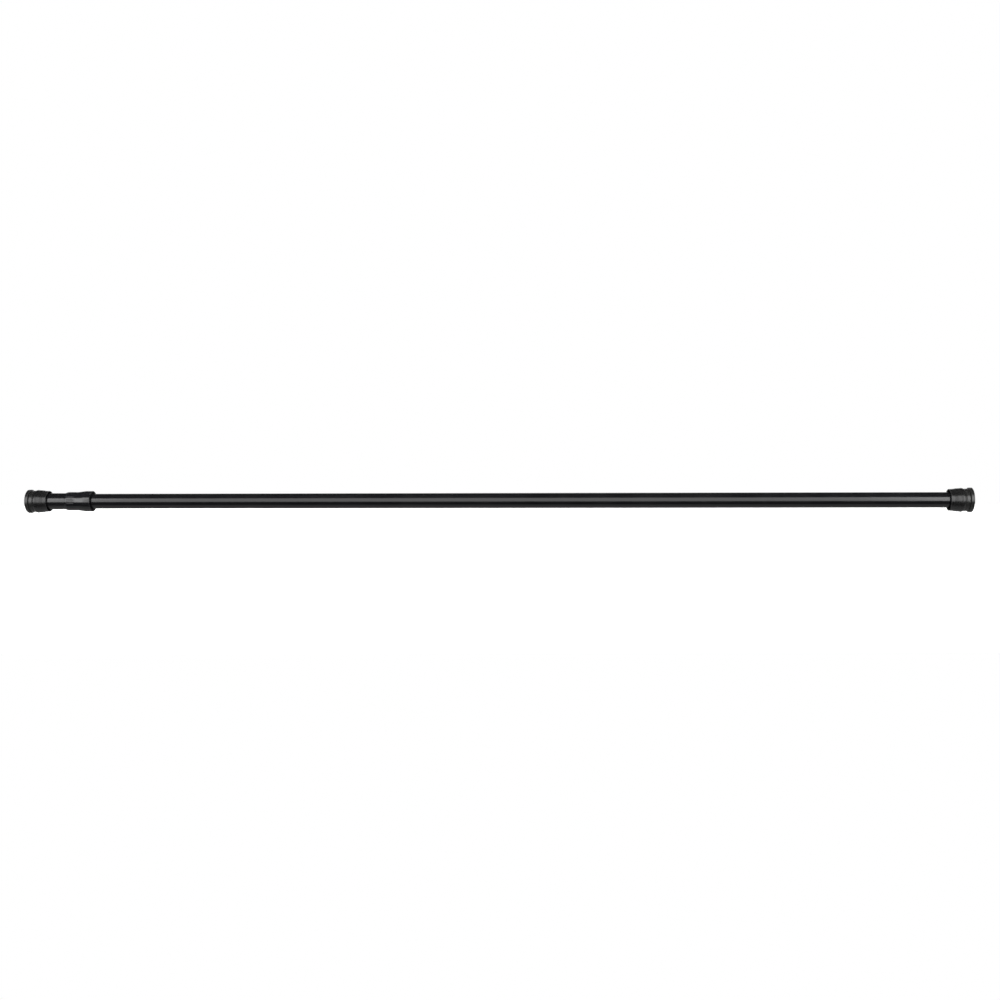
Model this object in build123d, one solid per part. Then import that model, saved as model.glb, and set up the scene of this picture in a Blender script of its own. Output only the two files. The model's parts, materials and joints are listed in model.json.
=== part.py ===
from build123d import *
import os

# Telescopic door security bar: two tubes, one inside the other, with a sprung pad at one end, a fixed pad
# at the other and a twist collar that locks the length.  Millimetres.  X runs along the bar.  The origin is
# the centre of the fixed pad's contact face, and the bar lies towards -X.

# Bar
BAR_LENGTH = 995.0           # between the two contact faces, closed up
TRAVEL = 838.0                # how far the inner tube pulls out
FOOT_STROKE = 12.0            # how far the sprung foot pushes in

# Tubes
OUTER_TUBE_R = 8.0
INNER_TUBE_R = 6.35
TUBE_WALL = 0.8
SLEEVE_R = 8.75
SLEEVE_WALL = 1.0
RUNNING_GAP = 0.07            # radial clearance of parts that slide on each other
TOUCH_GAP = 0.1               # gap between end faces that only meet under load

# End caps, the same moulding at both ends: distances from the contact face inward
PAD_R = 12.6
PAD_THICK = 3.5
NECK_R = 11.5
NECK_END = 7.9
RUBBER_END = 8.3
STEM_R = 4.6
STEM_END = 11.8
BEAD_R = 12.35
BEAD_AT = 10.5
BEAD_SLOPE = 2.6
BODY_R = 11.95
BODY_END = 16.2
LIP_START = 19.2
LIP_R = 11.1
CAP_LENGTH = 23.0
CAP_WALL = 1.0
WASHER_THICK = 1.0
WASHER_R = 9.4
SOCKET_FLOOR = 12.2           # the tube stands on this floor
GRIP_LENGTH = 7.8            # how much of the tube the socket holds
GRIP_RING_RADII = (6.6, 8.6, 10.6)
GRIP_RING_HALF_WIDTH = 0.45
GRIP_RING_DEPTH = 0.6

# Collar: distances from the sprung foot's contact face
COLLAR_START = 42.4
COLLAR_LENGTH = 28.7
COLLAR_LEAD = 2.0             # tapered lead-in at the thin end
COLLAR_THIN = 12.8            # lead-in and gripping part together
COLLAR_FLARE = 8.2
COLLAR_THIN_R = 9.9
COLLAR_WIDE_R = 11.0
SKIRT_BORE_R = 9.1
COLLAR_SHIFT = 1.0            # how far the collar moves along its thread in the unlocking half turn
SKIRT_CLEARANCE = 0.4         # left between the throat and the sleeve, foot pushed in and collar unlocked
THROAT_BORE_R = 6.8
THROAT_LENGTH = 2.0
FLUTES = 28
FLUTE_R = 0.55
FLUTE_DEPTH = 0.14
THREAD_R = 9.4                # male thread as a plain cylinder
THREAD_GAP = 0.08
WIPER_R = 8.0
WIPER_LIP = 0.4               # throat wall on each side of the wiper's groove

# Ferrule and collet
COLLET_REST = 1.3             # how far the collet stands out of the ferrule when locked
FERRULE_NOSE = 5.8            # from the ferrule's front to the outer tube's mouth
FERRULE_RECESS = 1.1          # how deep the ferrule sits in the collar's wide end
SPIGOT_LENGTH = 18.0          # guide inside the outer tube, and its pull-out stop
CONE_WIDE_R = 8.7
CONE_NARROW_R = 7.1
CONE_LENGTH = 5.0
COLLET_LENGTH = 6.0
COLLET_SLITS = 6
SLIT_WIDTH = 0.8
COLLET_GAP = 0.12             # radial gap between the two cones

# Sprung foot, inside
SLEEVE_END = 44.5
BUSHING_LENGTH = 6.4
SEAT_FLANGE = 2.0
SEAT_NUB_R = 4.0
SEAT_NUB = 3.0
SEAT_WASHER = 0.8
SPRING_WIRE_R = 0.8
SPRING_R = 5.9
SPRING_TURNS = 4
PLUG_DISC = 3.6
PLUG_WALL = 1.3
SEAT_SPIGOT = 12.0
PIN_R = 1.0
SEAT_PIN_IN = 8.0             # cross pin's distance inside the inner tube's end

# Inner tube's far end
GUIDE_LENGTH = 20.0
GUIDE_SLIT = 1.5
GUIDE_PIN_IN = 5.0
EDGE = 0.3                    # broken edge on turned ends

INNER_BORE_R = INNER_TUBE_R - TUBE_WALL
OUTER_BORE_R = OUTER_TUBE_R - TUBE_WALL
SLEEVE_BORE_R = SLEEVE_R - SLEEVE_WALL
RUN_ON_INNER_R = INNER_TUBE_R + RUNNING_GAP
SLEEVE_STOP = SLEEVE_END - BUSHING_LENGTH     # face of the bushing that the seat plug meets
SEAT_FACE = SLEEVE_STOP - TOUCH_GAP - SEAT_FLANGE    # spring side of the seat plug's flange
INNER_START = SEAT_FACE + SEAT_FLANGE
THROAT_AT = SLEEVE_END + FOOT_STROKE + COLLAR_SHIFT + SKIRT_CLEARANCE
COLLET_AT = THROAT_AT + THROAT_LENGTH + TOUCH_GAP
FERRULE_START = COLLET_AT + COLLET_REST
FERRULE_END = COLLAR_START + COLLAR_LENGTH - FERRULE_RECESS
MOUTH_AT = FERRULE_START + FERRULE_NOSE       # where the outer tube begins
SPIGOT_END = MOUTH_AT + SPIGOT_LENGTH
INNER_END = SPIGOT_END + TOUCH_GAP + TRAVEL + GUIDE_LENGTH
TUBE_END = BAR_LENGTH - SOCKET_FLOOR          # where the outer tube stands in its socket
SEAT_PIN_AT = INNER_START + SEAT_PIN_IN
GUIDE_PIN_AT = INNER_END - GUIDE_PIN_IN
GUIDE_R = OUTER_BORE_R - RUNNING_GAP


def from_sprung_foot(profile):
    """Profile places counted from the sprung foot's contact face, at -X."""
    return [(place - BAR_LENGTH, *rest) for place, *rest in profile]


def from_fixed_foot(profile):
    """Profile places counted from the fixed foot's contact face, at the origin."""
    return [(-place, *rest) for place, *rest in profile]


def turned(profile):
    """Solid turned about the bar's axis from closed (place, radius[, fillet]) corners."""
    corners = [(place, radius) for place, radius, *_ in profile]
    face = make_face(Polyline(*corners, close=True))
    for place, radius, *bend in profile:
        if bend:
            corner = face.vertices().sort_by_distance((place, radius, 0))[0]
            face = fillet(corner, bend[0])
    return revolve(face, Axis.X)


def ring(start, end, bore, radius):
    """Plain turned ring or, with no bore, a disc; places from the sprung foot."""
    outline = [(start, bore), (start, radius), (end, radius), (end, bore)]
    return turned(from_sprung_foot(outline))


def tube(start, end, bore, radius):
    """Cut tube with its outer edges broken; places from the sprung foot."""
    outline = [(start, bore), (start, radius - EDGE), (start + EDGE, radius)]
    outline += [(end - EDGE, radius), (end, radius - EDGE), (end, bore)]
    return turned(from_sprung_foot(outline))


def save(name, shape):
    shape.label = name
    export_step(shape, f"parts/{name}.step")


# ---- End caps ----

def rubber_foot(placed):
    """Rubber pad with gripping rings in its face, a neck, and a stem for the socket."""
    outline = [(0, 0)]
    for radius in GRIP_RING_RADII:
        inner, outer = radius - GRIP_RING_HALF_WIDTH, radius + GRIP_RING_HALF_WIDTH
        outline += [(0, inner), (GRIP_RING_DEPTH, radius - 0.2), (GRIP_RING_DEPTH, radius + 0.2), (0, outer)]
    outline += [(0, PAD_R, 0.5), (PAD_THICK, PAD_R, 0.6), (PAD_THICK + 0.2, NECK_R - 0.5)]
    outline += [(PAD_THICK + 0.8, NECK_R, 0.3), (NECK_END - 0.6, NECK_R, 0.3), (NECK_END, NECK_R - 0.6)]
    outline += [(RUBBER_END, NECK_R - 0.6), (RUBBER_END, STEM_R), (STEM_END, STEM_R, 0.5), (STEM_END, 0)]
    return turned(placed(outline))


def backing_washer(placed):
    """Steel disc that keeps the tube's load from cutting into the rubber."""
    end = RUBBER_END + WASHER_THICK
    bore = STEM_R + 0.1
    return turned(placed([(RUBBER_END, bore), (RUBBER_END, WASHER_R), (end, WASHER_R), (end, bore)]))


def socket(placed, tube_r):
    """Hard cap body: bead, taper and lip outside; washer seat, tube grip and open mouth inside."""
    seat_end = RUBBER_END + WASHER_THICK
    grip_end = SOCKET_FLOOR + GRIP_LENGTH
    mouth_r = LIP_R - CAP_WALL
    outline = [(RUBBER_END, WASHER_R + 0.1), (RUBBER_END, NECK_R, 0.25)]
    outline += [(RUBBER_END + 0.8, BEAD_R - 0.4, 0.6), (BEAD_AT, BEAD_R, 1.4)]
    outline += [(BEAD_AT + BEAD_SLOPE, BODY_R, 2.0), (BODY_END, BODY_R - 0.15, 3.0)]
    outline += [(LIP_START, LIP_R + 0.15, 1.5), (CAP_LENGTH, LIP_R, 0.45), (CAP_LENGTH, mouth_r, 0.3)]
    outline += [(grip_end, mouth_r - 0.2), (grip_end, tube_r), (SOCKET_FLOOR, tube_r)]
    outline += [(SOCKET_FLOOR, STEM_R + 0.1), (seat_end, STEM_R + 0.1), (seat_end, WASHER_R + 0.1)]
    return turned(placed(outline))


def end_plug(placed, length, radius):
    """Cup-shaped plug in a tube's end, its floor against the socket."""
    start, end = SOCKET_FLOOR, SOCKET_FLOOR + length
    outline = [(start, 0), (start, radius), (end, radius, 0.3), (end, radius - PLUG_WALL)]
    outline += [(start + PLUG_DISC, radius - PLUG_WALL), (start + PLUG_DISC, 0)]
    return turned(placed(outline))


def spring_plug(placed, radius):
    """Solid plug in the sleeve's end with a nub that centres the spring."""
    start, face = SOCKET_FLOOR, SOCKET_FLOOR + PLUG_DISC
    outline = [(start, 0), (start, radius), (face, radius), (face, SEAT_NUB_R)]
    outline += [(face + SEAT_NUB, SEAT_NUB_R, 0.6), (face + SEAT_NUB, 0)]
    return turned(placed(outline))


# ---- Collar lock ----

def flute_cutter(length):
    """Round bar along +X with rounded ends."""
    return turned([(0, 0), (0, FLUTE_R, FLUTE_R * 0.98), (length, FLUTE_R, FLUTE_R * 0.98), (length, 0)])


def lock_collar():
    """Flared nut with a skirt over the sleeve, a throat that pushes the collet, and a threaded bore."""
    start, end = COLLAR_START, COLLAR_START + COLLAR_LENGTH
    thin_end = start + COLLAR_THIN
    wide_start = thin_end + COLLAR_FLARE
    thread_bore = THREAD_R + THREAD_GAP
    throat_end = THROAT_AT + THROAT_LENGTH
    groove_start, groove_end = THROAT_AT + WIPER_LIP, throat_end - WIPER_LIP
    outline = [(start, SKIRT_BORE_R + 0.15), (start, SKIRT_BORE_R + 0.35, 0.08)]
    outline += [(start + COLLAR_LEAD, COLLAR_THIN_R, 1.0)]
    outline += [(thin_end, COLLAR_THIN_R, 20.0), (wide_start, COLLAR_WIDE_R, 12.0), (end, COLLAR_WIDE_R, 0.5)]
    outline += [(end, thread_bore + 0.3), (end - 0.4, thread_bore), (throat_end, thread_bore)]
    outline += [(throat_end, THROAT_BORE_R), (groove_end, THROAT_BORE_R), (groove_end, WIPER_R)]
    outline += [(groove_start, WIPER_R), (groove_start, THROAT_BORE_R), (THROAT_AT, THROAT_BORE_R)]
    outline += [(THROAT_AT, SKIRT_BORE_R), (start + 0.4, SKIRT_BORE_R)]
    body = turned(from_sprung_foot(outline))
    flute_start, flute_end = start + COLLAR_LEAD + 0.8, thin_end - 2.0
    axis_r = COLLAR_THIN_R + FLUTE_R - FLUTE_DEPTH
    flute = Pos(flute_start - BAR_LENGTH, axis_r, 0) * flute_cutter(flute_end - flute_start)
    return body - [Rot(X=360 / FLUTES * n) * flute for n in range(FLUTES)]


def threaded_ferrule():
    """Insert in the outer tube: clamping cone, male thread, and a spigot that is the pull-out stop."""
    cone_end = FERRULE_START + CONE_LENGTH
    outline = [(FERRULE_START, CONE_WIDE_R), (FERRULE_START, THREAD_R - EDGE)]
    outline += [(FERRULE_START + EDGE, THREAD_R)]
    outline += [(FERRULE_END - EDGE, THREAD_R), (FERRULE_END, THREAD_R - EDGE), (FERRULE_END, OUTER_TUBE_R)]
    outline += [(MOUTH_AT, OUTER_TUBE_R), (MOUTH_AT, OUTER_BORE_R), (SPIGOT_END, OUTER_BORE_R)]
    outline += [(SPIGOT_END, RUN_ON_INNER_R), (cone_end, RUN_ON_INNER_R), (cone_end, CONE_NARROW_R)]
    return turned(from_sprung_foot(outline))


def clamp_collet():
    """Tapered ring, slit from its thin end, that the collar presses into the ferrule's cone."""
    slope = (CONE_WIDE_R - CONE_NARROW_R) / CONE_LENGTH
    end = COLLET_AT + COLLET_LENGTH
    end_r = CONE_WIDE_R - COLLET_GAP - slope * (end - FERRULE_START)
    wide_end = FERRULE_START - 0.2
    outline = [(COLLET_AT, RUN_ON_INNER_R), (COLLET_AT, CONE_WIDE_R - COLLET_GAP)]
    outline += [(wide_end, CONE_WIDE_R - COLLET_GAP), (end, end_r), (end, RUN_ON_INNER_R)]
    collet = turned(from_sprung_foot(outline))
    slit = Box(COLLET_LENGTH, 2 * CONE_WIDE_R, SLIT_WIDTH, align=(Align.MIN, Align.MIN, Align.CENTER))
    slit = Pos(COLLET_AT + 1.4 - BAR_LENGTH, 0, 0) * slit
    return collet - [Rot(X=360 / COLLET_SLITS * n) * slit for n in range(COLLET_SLITS)]


# ---- Sliding parts ----

def seat_plug():
    """Plug in the inner tube's end: spring nub, flange that runs in the sleeve, spigot in the tube."""
    end = INNER_START + SEAT_SPIGOT
    outline = [(SEAT_FACE - SEAT_NUB, 0), (SEAT_FACE - SEAT_NUB, SEAT_NUB_R, 0.6), (SEAT_FACE, SEAT_NUB_R)]
    outline += [(SEAT_FACE, SLEEVE_BORE_R - RUNNING_GAP), (INNER_START, SLEEVE_BORE_R - RUNNING_GAP)]
    outline += [(INNER_START, INNER_BORE_R), (end, INNER_BORE_R), (end, 0)]
    return turned(from_sprung_foot(outline)) - cross_pin(SEAT_PIN_AT, INNER_TUBE_R)


def cross_pin(place, reach):
    """Pin across the bar, its ends sunk just under the given radius."""
    pin = Cylinder(PIN_R, 2 * reach)
    sheath = Rot(Y=90) * Cylinder(reach - 0.05, 4 * PIN_R)
    return Pos(place - BAR_LENGTH, 0, 0) * (pin & sheath)


def guide_bush():
    """Split bush on the inner tube's far end."""
    start = INNER_END - GUIDE_LENGTH
    bush = tube(start, INNER_END, INNER_TUBE_R, GUIDE_R)
    slit = Box(GUIDE_LENGTH + 1, OUTER_TUBE_R, GUIDE_SLIT, align=(Align.MIN, Align.MIN, Align.CENTER))
    return bush - Pos(start - 0.5 - BAR_LENGTH, 0, 0) * slit - cross_pin(GUIDE_PIN_AT, OUTER_TUBE_R)


def coil_spring():
    """Compression spring between the sleeve's plug and the seat washer."""
    start = SOCKET_FLOOR + PLUG_DISC + SPRING_WIRE_R
    end = SEAT_FACE - SEAT_WASHER - SPRING_WIRE_R
    path = Helix(pitch=(end - start) / SPRING_TURNS, height=end - start, radius=SPRING_R)
    section = (path ^ 0) * Circle(SPRING_WIRE_R)
    return Pos(start - BAR_LENGTH, 0, 0) * Rot(Y=90) * sweep(section, path, is_frenet=True)


os.makedirs("parts", exist_ok=True)

# End caps
save("left_rubber_foot", rubber_foot(from_sprung_foot))
save("right_rubber_foot", rubber_foot(from_fixed_foot))
save("left_backing_washer", backing_washer(from_sprung_foot))
save("right_backing_washer", backing_washer(from_fixed_foot))
save("left_socket", socket(from_sprung_foot, SLEEVE_R))
save("right_socket", socket(from_fixed_foot, OUTER_TUBE_R))
save("left_end_plug", spring_plug(from_sprung_foot, SLEEVE_BORE_R))
save("right_end_plug", end_plug(from_fixed_foot, TUBE_END - INNER_END - TOUCH_GAP, OUTER_BORE_R))

# Tubes
seat_pin = cross_pin(SEAT_PIN_AT, INNER_TUBE_R)
guide_pin = cross_pin(GUIDE_PIN_AT, GUIDE_R)
pin_holes = [cross_pin(SEAT_PIN_AT, OUTER_TUBE_R), cross_pin(GUIDE_PIN_AT, OUTER_TUBE_R)]
save("outer_tube", tube(MOUTH_AT, TUBE_END, OUTER_BORE_R, OUTER_TUBE_R))
save("inner_tube", tube(INNER_START, INNER_END, INNER_BORE_R, INNER_TUBE_R) - pin_holes)
save("spring_sleeve", tube(SOCKET_FLOOR, SLEEVE_END, SLEEVE_BORE_R, SLEEVE_R))

# Collar lock
save("lock_collar", lock_collar())
groove = THROAT_AT + WIPER_LIP, THROAT_AT + THROAT_LENGTH - WIPER_LIP
save("wiper_ring", ring(*groove, RUN_ON_INNER_R, WIPER_R))
save("threaded_ferrule", threaded_ferrule())
save("clamp_collet", clamp_collet())

# Sliding parts
save("spring_seat_plug", seat_plug())
save("seat_washer", ring(SEAT_FACE - SEAT_WASHER, SEAT_FACE, SEAT_NUB_R + 0.1, SLEEVE_BORE_R - 0.3))
save("foot_spring", coil_spring())
save("sleeve_bushing", ring(SLEEVE_STOP, SLEEVE_END, RUN_ON_INNER_R, SLEEVE_BORE_R))
save("inner_guide_bush", guide_bush())
save("roll_pins", Compound(children=[seat_pin, guide_pin]))
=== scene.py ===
import json
import math

import bmesh
import bpy
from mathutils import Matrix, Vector


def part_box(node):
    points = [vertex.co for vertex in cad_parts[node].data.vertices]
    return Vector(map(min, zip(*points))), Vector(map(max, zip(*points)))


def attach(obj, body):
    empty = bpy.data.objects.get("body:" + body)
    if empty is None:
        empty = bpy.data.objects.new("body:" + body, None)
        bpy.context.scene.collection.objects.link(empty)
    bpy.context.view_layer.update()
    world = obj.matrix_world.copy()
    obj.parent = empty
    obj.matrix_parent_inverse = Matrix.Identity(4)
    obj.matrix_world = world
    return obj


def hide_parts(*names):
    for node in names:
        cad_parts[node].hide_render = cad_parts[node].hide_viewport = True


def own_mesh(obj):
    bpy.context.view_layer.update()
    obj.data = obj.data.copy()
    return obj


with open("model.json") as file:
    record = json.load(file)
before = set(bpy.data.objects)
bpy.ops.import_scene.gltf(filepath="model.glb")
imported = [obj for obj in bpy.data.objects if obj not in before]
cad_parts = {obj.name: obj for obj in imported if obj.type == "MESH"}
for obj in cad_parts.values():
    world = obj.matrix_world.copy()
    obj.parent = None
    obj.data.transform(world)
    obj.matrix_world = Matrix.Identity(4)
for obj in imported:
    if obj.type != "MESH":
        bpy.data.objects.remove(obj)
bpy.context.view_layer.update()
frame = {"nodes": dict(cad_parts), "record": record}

MM = 0.001

# ---------------------------------------------------------------------------
# Sizes read from the frame
# ---------------------------------------------------------------------------
BAR_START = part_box("left_rubber_foot")[0][0]     # the sprung foot's contact face
PAD_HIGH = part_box("right_rubber_foot")[1]
BAR_END = PAD_HIGH[0]                            # the fixed foot's contact face
PAD_R = PAD_HIGH[2]
SOCKET_LOW, SOCKET_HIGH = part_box("right_socket")
BEAD_R = SOCKET_HIGH[2]
CAP_LENGTH = BAR_END - SOCKET_LOW[0]
RUBBER_END = BAR_END - SOCKET_HIGH[0]            # where the socket starts behind the pad
OUTER_LOW, OUTER_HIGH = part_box("outer_tube")
INNER_LOW, INNER_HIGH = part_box("inner_tube")
SLEEVE_LOW, SLEEVE_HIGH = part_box("spring_sleeve")
COLLAR_LOW, COLLAR_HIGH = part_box("lock_collar")
OUTER_R = OUTER_HIGH[2]
INNER_R = INNER_HIGH[2]
SLEEVE_R = SLEEVE_HIGH[2]


# ---------------------------------------------------------------------------
# Mesh building
# ---------------------------------------------------------------------------
SEGMENTS = 192                                   # mesh columns round a turned piece
ON_AXIS = 1e-7                                   # a smaller radius is a point on the axis
SHARP_ANGLE = math.radians(35)
ARC_STEP = math.radians(9)
FILLET_SHARE = 0.49                              # the most of an outline's side that one rounding takes
WEAR_LIMIT = 1.1 * MM                            # larger roundings are shape, not edges, and don't wear
WEAR_GUARD = 0.45 * MM                           # how far edge wear reaches from a rounded edge
INWARD_WEAR = 0.4                                # wear of an edge that faces the axis; 1 for the others


def rounded(corners, closed):
    """Outline of (x, r, worn) points from (x, r[, fillet]) corners; a fillet becomes an arc."""
    points = []
    count = len(corners)
    for n, corner in enumerate(corners):
        here = Vector(corner[:2])
        if len(corner) < 3 or (not closed and n in (0, count - 1)):
            points.append((here.x, here.y, 0.0))
            continue
        before = Vector(corners[n - 1][:2]) - here
        after = Vector(corners[(n + 1) % count][:2]) - here
        points += arc_points(here, before, after, corner[2])
    return points


def arc_points(here, before, after, radius):
    """Arc that rounds one corner, with unworn guard points on each side where there is room."""
    half = before.angle(after) / 2
    setback = radius / math.tan(half)
    limit = FILLET_SHARE * min(before.length, after.length)
    if setback > limit:
        setback, radius = limit, limit * math.tan(half)
    first = here + before.normalized() * setback
    last = here + after.normalized() * setback
    middle = (before.normalized() + after.normalized()).normalized()
    centre = here + middle * radius / math.sin(half)
    steps = max(2, math.ceil((math.pi - 2 * half) / ARC_STEP))
    worn = 0.0
    if radius <= WEAR_LIMIT:
        worn = 1.0 if here.y >= centre.y else INWARD_WEAR
    points = []
    if worn and before.length > 2 * (setback + WEAR_GUARD):
        guard = first + before.normalized() * WEAR_GUARD
        points.append((guard.x, guard.y, 0.0))
    for n in range(steps + 1):
        arm = (first - centre).slerp(last - centre, n / steps).normalized() * (first - centre).length
        points.append((centre.x + arm.x, centre.y + arm.y, worn))
    if worn and after.length > 2 * (setback + WEAR_GUARD):
        guard = last + after.normalized() * WEAR_GUARD
        points.append((guard.x, guard.y, 0.0))
    return points


def finished(name, bm, sharp_angle):
    """Object from a bmesh, shaded smooth except at edges sharper than an angle."""
    bmesh.ops.recalc_face_normals(bm, faces=bm.faces)
    mesh = bpy.data.meshes.new(name)
    bm.to_mesh(mesh)
    bm.free()
    mesh.shade_smooth()
    mesh.set_sharp_from_angle(angle=sharp_angle)
    piece = bpy.data.objects.new(name, mesh)
    bpy.context.scene.collection.objects.link(piece)
    return piece


def turned(name, corners, closed=True, segments=SEGMENTS, relief=None):
    """Piece turned about X from an outline. relief(x, r, angle) returns a change of radius."""
    bm = bmesh.new()
    worn = bm.verts.layers.float.new("wear")
    rings = []
    for x, r, wear in rounded(corners, closed):
        if r < ON_AXIS:
            pole = bm.verts.new((x, 0, 0))
            rings.append([pole] * segments)
            continue
        ring = []
        for n in range(segments):
            angle = math.tau * n / segments
            radius = r + (relief(x, r, angle) if relief else 0)
            vert = bm.verts.new((x, -radius * math.cos(angle), radius * math.sin(angle)))
            vert[worn] = wear
            ring.append(vert)
        rings.append(ring)
    back_to_first = rings[:1] if closed else []
    for near, far in zip(rings, rings[1:] + back_to_first):
        for n in range(segments):
            loop = [near[n], near[(n + 1) % segments], far[(n + 1) % segments], far[n]]
            corners_used = list(dict.fromkeys(loop))
            if len(corners_used) > 2:
                bm.faces.new(corners_used)
    return finished(name, bm, SHARP_ANGLE)


def fit(piece, node, body, slot):
    """Puts a piece in a CAD node's place."""
    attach(piece, body)
    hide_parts(node)
    piece.data.materials.append(MATERIALS[slot])


# ---------------------------------------------------------------------------
# Materials
# ---------------------------------------------------------------------------
CLOUD_RANGE = (0.3, 0.7)                         # the noise values that a soft variation spreads out
WEAR_RANGE = (0.42, 0.62)


class Nodes:
    """Small helper that adds and links shader nodes."""

    def __init__(self, name):
        self.material = bpy.data.materials.new(name)
        self.material.use_nodes = True
        self.tree = self.material.node_tree
        self.shader = self.tree.nodes["Principled BSDF"]
        self.place = self.add("ShaderNodeTexCoord").outputs["Object"]

    def add(self, kind, **settings):
        node = self.tree.nodes.new(kind)
        for key, value in settings.items():
            setattr(node, key, value)
        return node

    def link(self, source, target):
        self.tree.links.new(source, target)

    def scaled(self, scale):
        mapping = self.add("ShaderNodeMapping")
        mapping.inputs["Scale"].default_value = scale
        self.link(self.place, mapping.inputs["Vector"])
        return mapping.outputs["Vector"]

    def noise(self, scale, detail=3.0, rough=0.5, stretch=(1, 1, 1)):
        node = self.add("ShaderNodeTexNoise")
        node.inputs["Scale"].default_value = scale
        node.inputs["Detail"].default_value = detail
        node.inputs["Roughness"].default_value = rough
        self.link(self.scaled(stretch), node.inputs["Vector"])
        return node.outputs["Fac"]

    def ramp(self, value, low, high, to_low=0.0, to_high=1.0):
        node = self.add("ShaderNodeMapRange")
        for key, number in zip(("From Min", "From Max", "To Min", "To Max"), (low, high, to_low, to_high)):
            node.inputs[key].default_value = number
        self.link(value, node.inputs["Value"])
        return node.outputs["Result"]

    def spread(self, clouds, to_low=0.0, to_high=1.0):
        """Soft variation between two values."""
        return self.ramp(clouds, *CLOUD_RANGE, to_low, to_high)

    def maths(self, operation, a, b):
        node = self.add("ShaderNodeMath", operation=operation)
        for socket, value in zip(node.inputs, (a, b)):
            if isinstance(value, (int, float)):
                socket.default_value = value
            else:
                self.link(value, socket)
        return node.outputs["Value"]

    def mix(self, factor, a, b):
        node = self.add("ShaderNodeMix", data_type="RGBA")
        self.link(factor, node.inputs["Factor"])
        for socket, value in zip((node.inputs[6], node.inputs[7]), (a, b)):
            if isinstance(value, tuple):
                socket.default_value = (*value, 1.0)
            else:
                self.link(value, socket)
        return node.outputs[2]

    def stained(self, colour, mask, amount, stain):
        """Colour turned towards a stain by an amount, where the mask is 1."""
        return self.mix(self.maths("MULTIPLY", mask, amount), colour, stain)

    def worn_edges(self, scale=900.0):
        """1 on worn edges, broken up by noise."""
        edge = self.add("ShaderNodeAttribute", attribute_name="wear").outputs["Fac"]
        patches = self.ramp(self.noise(scale, detail=4.0, rough=0.6), *WEAR_RANGE)
        return self.maths("MULTIPLY", edge, patches)

    def bump(self, layers):
        """Chain of bump nodes from (height, depth in metres) pairs."""
        normal = None
        for height, depth in layers:
            node = self.add("ShaderNodeBump")
            node.inputs["Strength"].default_value = 1.0
            node.inputs["Distance"].default_value = depth
            self.link(height, node.inputs["Height"])
            if normal:
                self.link(normal, node.inputs["Normal"])
            normal = node.outputs["Normal"]
        self.link(normal, self.shader.inputs["Normal"])

    def set(self, **values):
        """Values or links for the shader's sockets, with _ for a space in a socket's name."""
        for key, value in values.items():
            socket = self.shader.inputs[key.replace("_", " ")]
            if isinstance(value, (int, float)):
                socket.default_value = value
            else:
                self.link(value, socket)


def powder_coat():
    """Semi-gloss black powder coat: faint orange peel, lengthwise scuffs, rubbed edges."""
    n = Nodes("powder_coat")
    dark, light = (0.0045, 0.0045, 0.0052), (0.0070, 0.0070, 0.0077)
    scuffed, rubbed = (0.03, 0.03, 0.032), (0.10, 0.10, 0.105)
    clouds = n.noise(35.0, detail=4.0)
    scuffs = n.ramp(n.noise(1.0, detail=5.0, rough=0.65, stretch=(14.0, 900.0, 900.0)), 0.62, 0.72)
    colour = n.mix(n.spread(clouds), dark, light)
    colour = n.stained(colour, scuffs, 0.25, scuffed)
    colour = n.stained(colour, n.worn_edges(), 0.55, rubbed)
    rough = n.maths("ADD", n.spread(clouds, 0.18, 0.23), n.maths("MULTIPLY", scuffs, 0.10))
    n.set(Base_Color=colour, Roughness=rough)
    orange_peel, grain = n.noise(700.0, detail=2.0), n.noise(2600.0, detail=2.0)
    n.bump([(orange_peel, 0.004 * MM), (grain, 0.0008 * MM)])
    return n.material


def moulded(name, dark, light, rough, grain, depth):
    """Black moulded plastic with a fine eroded grain, handling marks and rubbed edges."""
    n = Nodes(name)
    rubbed = (0.06, 0.06, 0.062)
    clouds = n.noise(60.0, detail=4.0)
    marks = n.ramp(n.noise(420.0, detail=6.0, rough=0.7, stretch=(0.5, 1.0, 1.0)), 0.58, 0.70)
    colour = n.mix(n.spread(clouds), dark, light)
    colour = n.stained(colour, n.worn_edges(1300.0), 0.35, rubbed)
    handled = n.maths("ADD", n.spread(clouds, *rough), n.maths("MULTIPLY", marks, 0.06))
    n.set(Base_Color=colour, Roughness=handled)
    eroded, waves = n.noise(grain, detail=3.0, rough=0.6), n.noise(240.0, detail=2.0)
    n.bump([(eroded, depth), (waves, 0.004 * MM)])
    return n.material


def rubber():
    """Matt black rubber: dusty, slightly pitted, with greyed edges."""
    n = Nodes("black_rubber")
    dark, light = (0.0075, 0.0075, 0.0075), (0.012, 0.012, 0.0115)
    dusty, greyed = (0.05, 0.05, 0.048), (0.045, 0.045, 0.043)
    clouds = n.noise(90.0, detail=5.0, rough=0.6)
    dust = n.ramp(n.noise(2200.0, detail=3.0, rough=0.6), 0.60, 0.74)
    colour = n.mix(n.spread(clouds), dark, light)
    colour = n.stained(colour, dust, 0.30, dusty)
    colour = n.stained(colour, n.worn_edges(), 0.40, greyed)
    n.set(Base_Color=colour, Roughness=n.spread(clouds, 0.28, 0.36))
    pits, waves = n.noise(1800.0, detail=4.0, rough=0.7), n.noise(300.0, detail=2.0)
    n.bump([(pits, 0.005 * MM), (waves, 0.006 * MM)])
    return n.material


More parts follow.
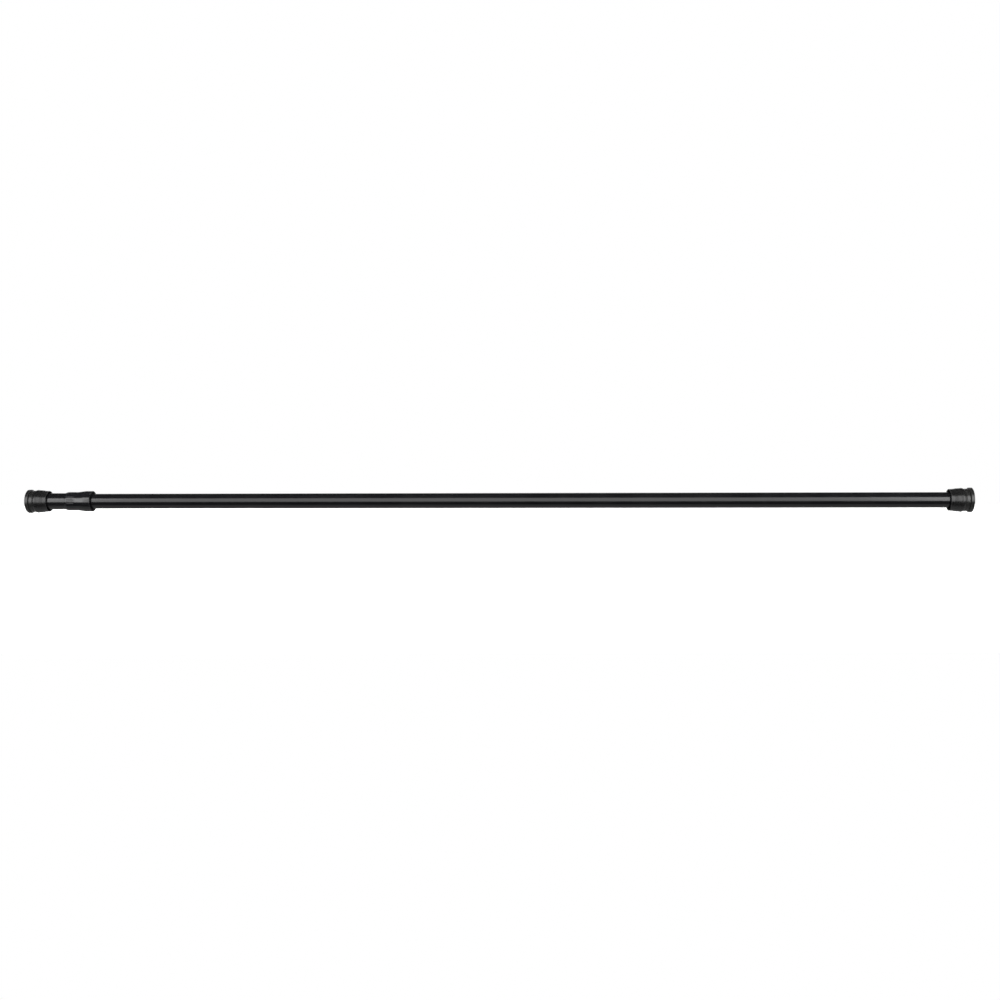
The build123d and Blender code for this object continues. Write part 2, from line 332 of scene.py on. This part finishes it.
def nylon():
    """Natural nylon, a little cloudy, with fine turning marks."""
    n = Nodes("nylon")
    clouds = n.noise(120.0, detail=4.0)
    colour = n.mix(n.spread(clouds), (0.58, 0.565, 0.51), (0.68, 0.665, 0.61))
    n.set(Base_Color=colour, Roughness=n.spread(clouds, 0.38, 0.50))
    n.set(Subsurface_Weight=0.15, Subsurface_Scale=1.5 * MM)
    turning = n.noise(1.0, detail=2.0, stretch=(5200.0, 60.0, 60.0))
    n.bump([(turning, 0.004 * MM)])
    return n.material


def metal(name, dark, light, rough, grain):
    """Bright steel with a directional grain and a few darker spots."""
    n = Nodes(name)
    spotted = (0.16, 0.14, 0.12)
    clouds = n.noise(150.0, detail=5.0)
    spots = n.ramp(n.noise(900.0), 0.64, 0.72)
    colour = n.stained(n.mix(n.spread(clouds), dark, light), spots, 0.5, spotted)
    n.set(Base_Color=colour, Metallic=1.0, Roughness=n.spread(clouds, *rough))
    brushed = n.noise(1.0, rough=0.6, stretch=grain)
    n.bump([(brushed, 0.003 * MM)])
    return n.material


MATERIALS = {
    "powder_coat": powder_coat(),
    "cap_plastic": moulded(
        "cap_plastic", dark=(0.0065,) * 3, light=(0.0095,) * 3, rough=(0.24, 0.30),
        grain=2400.0, depth=0.004 * MM),
    "collar_plastic": moulded(
        "collar_plastic", dark=(0.005, 0.005, 0.006), light=(0.008, 0.008, 0.009), rough=(0.15, 0.19),
        grain=3000.0, depth=0.0015 * MM),
    "black_rubber": rubber(),
    "nylon": nylon(),
    "zinc_steel": metal(
        "zinc_steel", dark=(0.55, 0.56, 0.58), light=(0.66, 0.66, 0.64), rough=(0.26, 0.38),
        grain=(300.0, 300.0, 5000.0)),
    "spring_steel": metal(
        "spring_steel", dark=(0.28, 0.28, 0.29), light=(0.38, 0.38, 0.39), rough=(0.32, 0.44),
        grain=(900.0,) * 3),
}


# ---------------------------------------------------------------------------
# Caps
# ---------------------------------------------------------------------------
def at_left(corners):
    """Places counted from the sprung foot's contact face."""
    return [(BAR_START + place, *rest) for place, *rest in corners]


def at_right(corners):
    """Places counted from the fixed foot's contact face."""
    return [(BAR_END - place, *rest) for place, *rest in corners]


# Rubber foot. Places are counted from the contact face, here and in the cap body.
PAD_THICK = 3.5 * MM
PAD_FRONT_EDGE = 0.5 * MM
PAD_BACK_EDGE = 0.6 * MM
NOTCH_DEPTH = 0.5 * MM                           # V notch between the pad and the neck
NOTCH_FLOOR = PAD_THICK + 0.2 * MM
NOTCH_END = PAD_THICK + 0.8 * MM
NOTCH_EDGE = 0.5 * MM
NECK_R = 11.5 * MM
NECK_END = 7.9 * MM
NECK_BEVEL = 0.6 * MM
NECK_EDGE = 0.4 * MM
STEM_R = 4.6 * MM
STEM_END = 11.8 * MM
STEM_EDGE = 0.5 * MM
GRIP_RINGS = (6.6 * MM, 8.6 * MM, 10.6 * MM)     # ring grooves in the contact face
GRIP_HALF = 0.45 * MM
GRIP_FLOOR_HALF = 0.2 * MM
GRIP_DEPTH = 0.6 * MM
GRIP_EDGE = 0.12 * MM


def rubber_foot(name, placed, body):
    """Pad with gripping rings, V notch, rounded neck and stem."""
    outline = [(0, 0)]
    for radius in GRIP_RINGS:
        outline += [(0, radius - GRIP_HALF, GRIP_EDGE), (GRIP_DEPTH, radius - GRIP_FLOOR_HALF)]
        outline += [(GRIP_DEPTH, radius + GRIP_FLOOR_HALF), (0, radius + GRIP_HALF, GRIP_EDGE)]
    outline += [(0, PAD_R, PAD_FRONT_EDGE), (PAD_THICK, PAD_R, PAD_BACK_EDGE)]
    outline += [(NOTCH_FLOOR, NECK_R - NOTCH_DEPTH), (NOTCH_END, NECK_R, NOTCH_EDGE)]
    outline += [(NECK_END - NECK_BEVEL, NECK_R, NECK_EDGE), (NECK_END, NECK_R - NECK_BEVEL)]
    outline += [(RUBBER_END, NECK_R - NECK_BEVEL), (RUBBER_END, STEM_R)]
    outline += [(STEM_END, STEM_R, STEM_EDGE), (STEM_END, 0)]
    piece = turned(name, placed(outline), closed=False)
    fit(piece, name, body, "black_rubber")


# Cap body
CAP_SEGMENTS = 360
LIP_R = 11.1 * MM
MOUTH_R = 10.1 * MM
FLOOR_AT = 12.2 * MM
GRIP_END = 20.0 * MM
WASHER_R = 9.5 * MM
WASHER_END = 9.3 * MM
SEAT_GAP = 0.1 * MM                              # round the rubber foot's stem
PARTING_RIDGE = 0.035 * MM
PARTING_HALF_ANGLE = math.radians(1.2)
CAP_OUTSIDE = (                                  # place, radius and rounding, behind the top of the bead
    (13.1 * MM, 11.95 * MM, 2.0 * MM),           # foot of the bead
    (16.2 * MM, 11.80 * MM, 3.0 * MM),           # end of the body, where the taper starts
    (19.2 * MM, LIP_R + 0.15 * MM, 1.5 * MM),    # end of the taper
    (CAP_LENGTH, LIP_R, 0.45 * MM),              # lip
)


def parting_line(x, r, angle):
    """Fine ridge left by a two-part mould, front and back."""
    if r < MOUTH_R:
        return 0
    away = abs(math.remainder(angle - math.pi / 2, math.pi))
    return PARTING_RIDGE * max(0.0, 1 - away / PARTING_HALF_ANGLE)


def socket(name, placed, body, tube_r):
    """Cap body: bead, taper and lip outside, open mouth behind."""
    seat_r = STEM_R + SEAT_GAP
    bead_r = BEAD_R - PARTING_RIDGE
    outline = [(RUBBER_END, WASHER_R), (RUBBER_END, NECK_R, 0.25 * MM)]
    outline += [(RUBBER_END + 0.8 * MM, bead_r - 0.4 * MM, 0.6 * MM), (10.5 * MM, bead_r, 1.4 * MM)]
    outline += CAP_OUTSIDE
    outline += [(CAP_LENGTH, MOUTH_R, 0.3 * MM), (GRIP_END, MOUTH_R - 0.2 * MM), (GRIP_END, tube_r)]
    outline += [(FLOOR_AT, tube_r), (FLOOR_AT, seat_r), (WASHER_END, seat_r), (WASHER_END, WASHER_R)]
    piece = turned(name, placed(outline), segments=CAP_SEGMENTS, relief=parting_line)
    fit(piece, name, body, "cap_plastic")


# ---------------------------------------------------------------------------
# Tubes
# ---------------------------------------------------------------------------
TUBE_WALL = 0.8 * MM
SLEEVE_WALL = 1.0 * MM
TUBE_EDGE = 0.3 * MM
BORE_EDGE = 0.12 * MM


def cut_tube(name, body, low, high, radius, wall):
    """Thin tube with rolled-over cut ends."""
    bore = radius - wall
    outline = [(low, bore, BORE_EDGE), (low, radius, TUBE_EDGE)]
    outline += [(high, radius, TUBE_EDGE), (high, bore, BORE_EDGE)]
    piece = turned(name, outline)
    fit(piece, name, body, "powder_coat")


# ---------------------------------------------------------------------------
# Collar. Places are counted from its thin end.
# ---------------------------------------------------------------------------
COLLAR_SEGMENTS = 560
THREAD_BORE = 9.48 * MM
SKIRT_BORE = 9.1 * MM
SKIRT_DEPTH = 15.5 * MM
BORE_BEVEL = 0.4 * MM
COLLAR_THIN_R = 9.9 * MM
COLLAR_WIDE_R = COLLAR_HIGH[2]
LEAD = 2.0 * MM                                  # end of the tapered lead-in
THIN_END = 12.8 * MM
WIDE_START = 21.0 * MM
THROAT_R = 6.8 * MM
THROAT = 2.0 * MM
FLUTES = 28
FLUTE_DEPTH = 0.10 * MM
FLUTE_FADE = 1.5 * MM
FLUTE_SHARPNESS = 6
FLUTE_ROWS = 12                                  # mesh rows along the fluted part
FLUTE_ROW_START = LEAD + 0.8 * MM
FLUTE_ROW_LENGTH = THIN_END - LEAD - 2.4 * MM
RADIUS_SLACK = 0.05 * MM


def flute(x, r, angle):
    """Shallow lengthwise grooves round the thin part of the collar, fading at both ends."""
    place = x - COLLAR_LOW[0]
    if r < COLLAR_THIN_R - RADIUS_SLACK or not LEAD < place < THIN_END:
        return 0
    fade = min(1.0, (place - LEAD) / FLUTE_FADE, (THIN_END - FLUTE_FADE - place) / FLUTE_FADE)
    wave = 0.5 + 0.5 * math.cos(FLUTES * angle)
    return -FLUTE_DEPTH * max(0.0, fade) * wave ** FLUTE_SHARPNESS


def lock_collar():
    """Flared twist collar."""
    start, end = COLLAR_LOW[0], COLLAR_HIGH[0]
    throat_end = start + SKIRT_DEPTH + THROAT
    outline = [(start, SKIRT_BORE + 0.15 * MM), (start, SKIRT_BORE + 0.35 * MM, 0.1 * MM)]
    outline += [(start + LEAD, COLLAR_THIN_R, 1.0 * MM)]
    for n in range(FLUTE_ROWS + 1):
        outline.append((start + FLUTE_ROW_START + FLUTE_ROW_LENGTH * n / FLUTE_ROWS, COLLAR_THIN_R))
    outline += [(start + THIN_END, COLLAR_THIN_R, 20.0 * MM)]
    outline += [(start + WIDE_START, COLLAR_WIDE_R, 12.0 * MM)]
    outline += [(end, COLLAR_WIDE_R, 0.5 * MM), (end, THREAD_BORE + 0.3 * MM, 0.15 * MM)]
    outline += [(end - BORE_BEVEL, THREAD_BORE), (throat_end, THREAD_BORE)]
    outline += [(throat_end, THROAT_R), (start + SKIRT_DEPTH, THROAT_R)]
    outline += [(start + SKIRT_DEPTH, SKIRT_BORE), (start + BORE_BEVEL, SKIRT_BORE)]
    piece = turned("lock_collar", outline, segments=COLLAR_SEGMENTS, relief=flute)
    fit(piece, "lock_collar", "collar", "collar_plastic")


# ---------------------------------------------------------------------------
# Spring
# ---------------------------------------------------------------------------
SPRING_LOW, SPRING_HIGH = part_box("foot_spring")
SPRING_WIRE_R = 0.8 * MM
SPRING_TURNS = 4
SPRING_STEPS = 72 * SPRING_TURNS                 # mesh rings along the wire
WIRE_SIDES = 16
SPRING_SHARP_ANGLE = math.radians(60)


def foot_spring():
    """Coil between the sprung foot's plug and the seat washer, built at one length; the real spring
    shortens as the foot is pushed in.
    """
    start, end = SPRING_LOW[0] + SPRING_WIRE_R, SPRING_HIGH[0] - SPRING_WIRE_R
    coil_r = SPRING_HIGH[2] - SPRING_WIRE_R
    slope = math.atan2(end - start, math.tau * coil_r * SPRING_TURNS)
    bm = bmesh.new()
    rings = []
    for n in range(SPRING_STEPS + 1):
        turn = math.tau * SPRING_TURNS * n / SPRING_STEPS
        place = start + (end - start) * n / SPRING_STEPS
        centre = Vector((place, coil_r * math.cos(turn), coil_r * math.sin(turn)))
        out = Vector((0, math.cos(turn), math.sin(turn)))
        round_coil = Vector((0, -math.sin(turn), math.cos(turn)))
        along = Vector((math.sin(slope), 0, 0)) + round_coil * math.cos(slope)
        across = out.cross(along)
        ring = []
        for m in range(WIRE_SIDES):
            angle = math.tau * m / WIRE_SIDES
            arm = out * math.cos(angle) + across * math.sin(angle)
            ring.append(bm.verts.new(centre + SPRING_WIRE_R * arm))
        rings.append(ring)
    for near, far in zip(rings, rings[1:]):
        for m in range(WIRE_SIDES):
            bm.faces.new([near[m], near[(m + 1) % WIRE_SIDES], far[(m + 1) % WIRE_SIDES], far[m]])
    bm.faces.new(rings[0])
    bm.faces.new(rings[-1])
    piece = finished("foot_spring", bm, SPRING_SHARP_ANGLE)
    fit(piece, "foot_spring", "inner_bar", "spring_steel")
    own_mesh(piece)


# ---------------------------------------------------------------------------
# All the pieces
# ---------------------------------------------------------------------------
rubber_foot("left_rubber_foot", at_left, "sprung_foot")
rubber_foot("right_rubber_foot", at_right, "outer_bar")
socket("left_socket", at_left, "sprung_foot", SLEEVE_R)
socket("right_socket", at_right, "outer_bar", OUTER_R)
cut_tube("spring_sleeve", "sprung_foot", SLEEVE_LOW[0], SLEEVE_HIGH[0], SLEEVE_R, SLEEVE_WALL)
cut_tube("outer_tube", "outer_bar", OUTER_LOW[0], OUTER_HIGH[0], OUTER_R, TUBE_WALL)
cut_tube("inner_tube", "inner_bar", INNER_LOW[0], INNER_HIGH[0], INNER_R, TUBE_WALL)
lock_collar()
foot_spring()

# The other CAD nodes are shown as they are, in their slots' materials
SLOT_OF = {s["node"]: s["material_slot"] for s in frame["record"]["subparts"]}
for node_name, node in frame["nodes"].items():
    node.data.materials.clear()
    node.data.materials.append(MATERIALS[SLOT_OF[node_name]])


# ---------------------------------------------------------------------------
# Stage
# ---------------------------------------------------------------------------
MIDDLE = Vector(((BAR_START + BAR_END) / 2, 0, 0))
WHITE = (1.0, 1.0, 1.0, 1.0)
FLOOR_SIZE = 4.6
FLOOR_GAP = 0.2 * MM                             # below the pads
FLOOR_COLOUR = (0.92, 0.92, 0.92, 1.0)
FLOOR_ROUGHNESS = 0.9
FLOOR_GLOW = 0.5
BACKDROP_R = 7.0
BACKDROP_GLOW = 1.0


def stage_floor():
    """Pale floor that glows a little, just below the pads."""
    bm = bmesh.new()
    bmesh.ops.create_grid(bm, x_segments=1, y_segments=1, size=FLOOR_SIZE / 2)
    mesh = bpy.data.meshes.new("floor")
    bm.to_mesh(mesh)
    bm.free()
    floor = bpy.data.objects.new("floor", mesh)
    floor.location = (MIDDLE.x, 0, -PAD_R - FLOOR_GAP)
    material = bpy.data.materials.new("floor")
    material.use_nodes = True
    shader = material.node_tree.nodes["Principled BSDF"]
    shader.inputs["Base Color"].default_value = FLOOR_COLOUR
    shader.inputs["Roughness"].default_value = FLOOR_ROUGHNESS
    shader.inputs["Emission Color"].default_value = WHITE
    shader.inputs["Emission Strength"].default_value = FLOOR_GLOW
    mesh.materials.append(material)
    return floor


def stage_dome():
    """White surroundings."""
    bm = bmesh.new()
    bmesh.ops.create_uvsphere(bm, u_segments=48, v_segments=24, radius=BACKDROP_R)
    mesh = bpy.data.meshes.new("backdrop")
    bm.to_mesh(mesh)
    bm.free()
    dome = bpy.data.objects.new("backdrop", mesh)
    dome.location = MIDDLE
    material = bpy.data.materials.new("backdrop")
    material.use_nodes = True
    tree = material.node_tree
    tree.nodes.clear()
    glow = tree.nodes.new("ShaderNodeEmission")
    glow.inputs["Color"].default_value = WHITE
    glow.inputs["Strength"].default_value = BACKDROP_GLOW
    out = tree.nodes.new("ShaderNodeOutputMaterial")
    tree.links.new(glow.outputs["Emission"], out.inputs["Surface"])
    mesh.materials.append(material)
    return dome


# Only the camera sees the floor and the backdrop: they don't light, shade or show in the bar
for stage_piece in (stage_floor(), stage_dome()):
    bpy.context.scene.collection.objects.link(stage_piece)
    stage_piece.visible_glossy = False
    stage_piece.visible_transmission = False
    stage_piece.visible_shadow = False
    stage_piece.visible_diffuse = False


# ---------------------------------------------------------------------------
# Light
# ---------------------------------------------------------------------------
FRONT = Vector((0, -1.9, 0.575))                 # places are in metres from the bar's middle
FRONT_SIDES = {"left": Vector((-2.6, 0.04, 0)), "right": Vector((2.25, 0.04, 0))}
BEHIND = Vector((0, 2.2, 0.9))
UNDER = Vector((0, 0.55, -0.6))
ABOVE = Vector((0, 0.3, 2.6))
AHEAD = Vector((0, 1.9, 0))
UP = Vector((0, 0, 1))

# World strength by direction Y
WORLD_RAMP = {"From Min": -0.75, "From Max": -0.1, "To Min": 0.03, "To Max": 0.2}


def soft_box(name, place, target, width, height, power, glossy=True):
    """Rectangular area light aimed at a point."""
    light = bpy.data.lights.new(name, "AREA")
    light.shape = "RECTANGLE"
    light.size, light.size_y = width, height
    light.energy = power
    lamp = bpy.data.objects.new(name, light)
    lamp.location = place
    lamp.rotation_euler = (Vector(target) - Vector(place)).to_track_quat("-Z", "Y").to_euler()
    lamp.visible_glossy = glossy
    lamp.visible_camera = False
    bpy.context.scene.collection.objects.link(lamp)


front, behind, under = MIDDLE + FRONT, MIDDLE + BEHIND, MIDDLE + UNDER
soft_box("front_box", front, front + AHEAD, width=4.4, height=2.0, power=62.0)
for side, offset in FRONT_SIDES.items():
    place = front + offset
    soft_box(side + "_box", place, place + AHEAD, width=2.6, height=2.0, power=54.0)
soft_box("back_box", behind, behind - AHEAD, width=4.4, height=1.2, power=16.0)
# Stands for the light that a real floor would throw back
soft_box("under_light", under, under + UP, width=4.4, height=1.7, power=9.0)
soft_box("top_light", MIDDLE + ABOVE, MIDDLE, width=4.0, height=4.0, power=150.0, glossy=False)

world = bpy.data.worlds.new("studio")
world.use_nodes = True
world_tree = world.node_tree
direction = world_tree.nodes.new("ShaderNodeTexCoord")
split = world_tree.nodes.new("ShaderNodeSeparateXYZ")
fade = world_tree.nodes.new("ShaderNodeMapRange")
for key, number in WORLD_RAMP.items():
    fade.inputs[key].default_value = number
world_tree.links.new(direction.outputs["Generated"], split.inputs["Vector"])
world_tree.links.new(split.outputs["Y"], fade.inputs["Value"])
world_tree.links.new(fade.outputs["Result"], world_tree.nodes["Background"].inputs["Strength"])
bpy.context.scene.world = world
bpy.context.scene.view_settings.view_transform = "Standard"


# ---------------------------------------------------------------------------
# Camera
# ---------------------------------------------------------------------------
CAMERA_DISTANCE = 1.25
CAMERA_YAW = math.radians(4.6)
CAMERA_ROLL = math.radians(-0.09)
CAMERA_LENS = 42.7
SENSOR_WIDTH = 36.0
AIM_OFFSET = Vector((0.0134, 0, 0.0006))

camera_data = bpy.data.cameras.new("camera")
camera_data.lens = CAMERA_LENS
camera_data.sensor_width = SENSOR_WIDTH
camera = bpy.data.objects.new("camera", camera_data)
bpy.context.scene.collection.objects.link(camera)
camera.location = MIDDLE + CAMERA_DISTANCE * Vector((math.sin(CAMERA_YAW), -math.cos(CAMERA_YAW), 0))
look = MIDDLE + AIM_OFFSET - camera.location
camera.rotation_euler = look.to_track_quat("-Z", "Y").to_euler()
camera.rotation_euler.rotate_axis("Z", CAMERA_ROLL)
bpy.context.scene.camera = camera
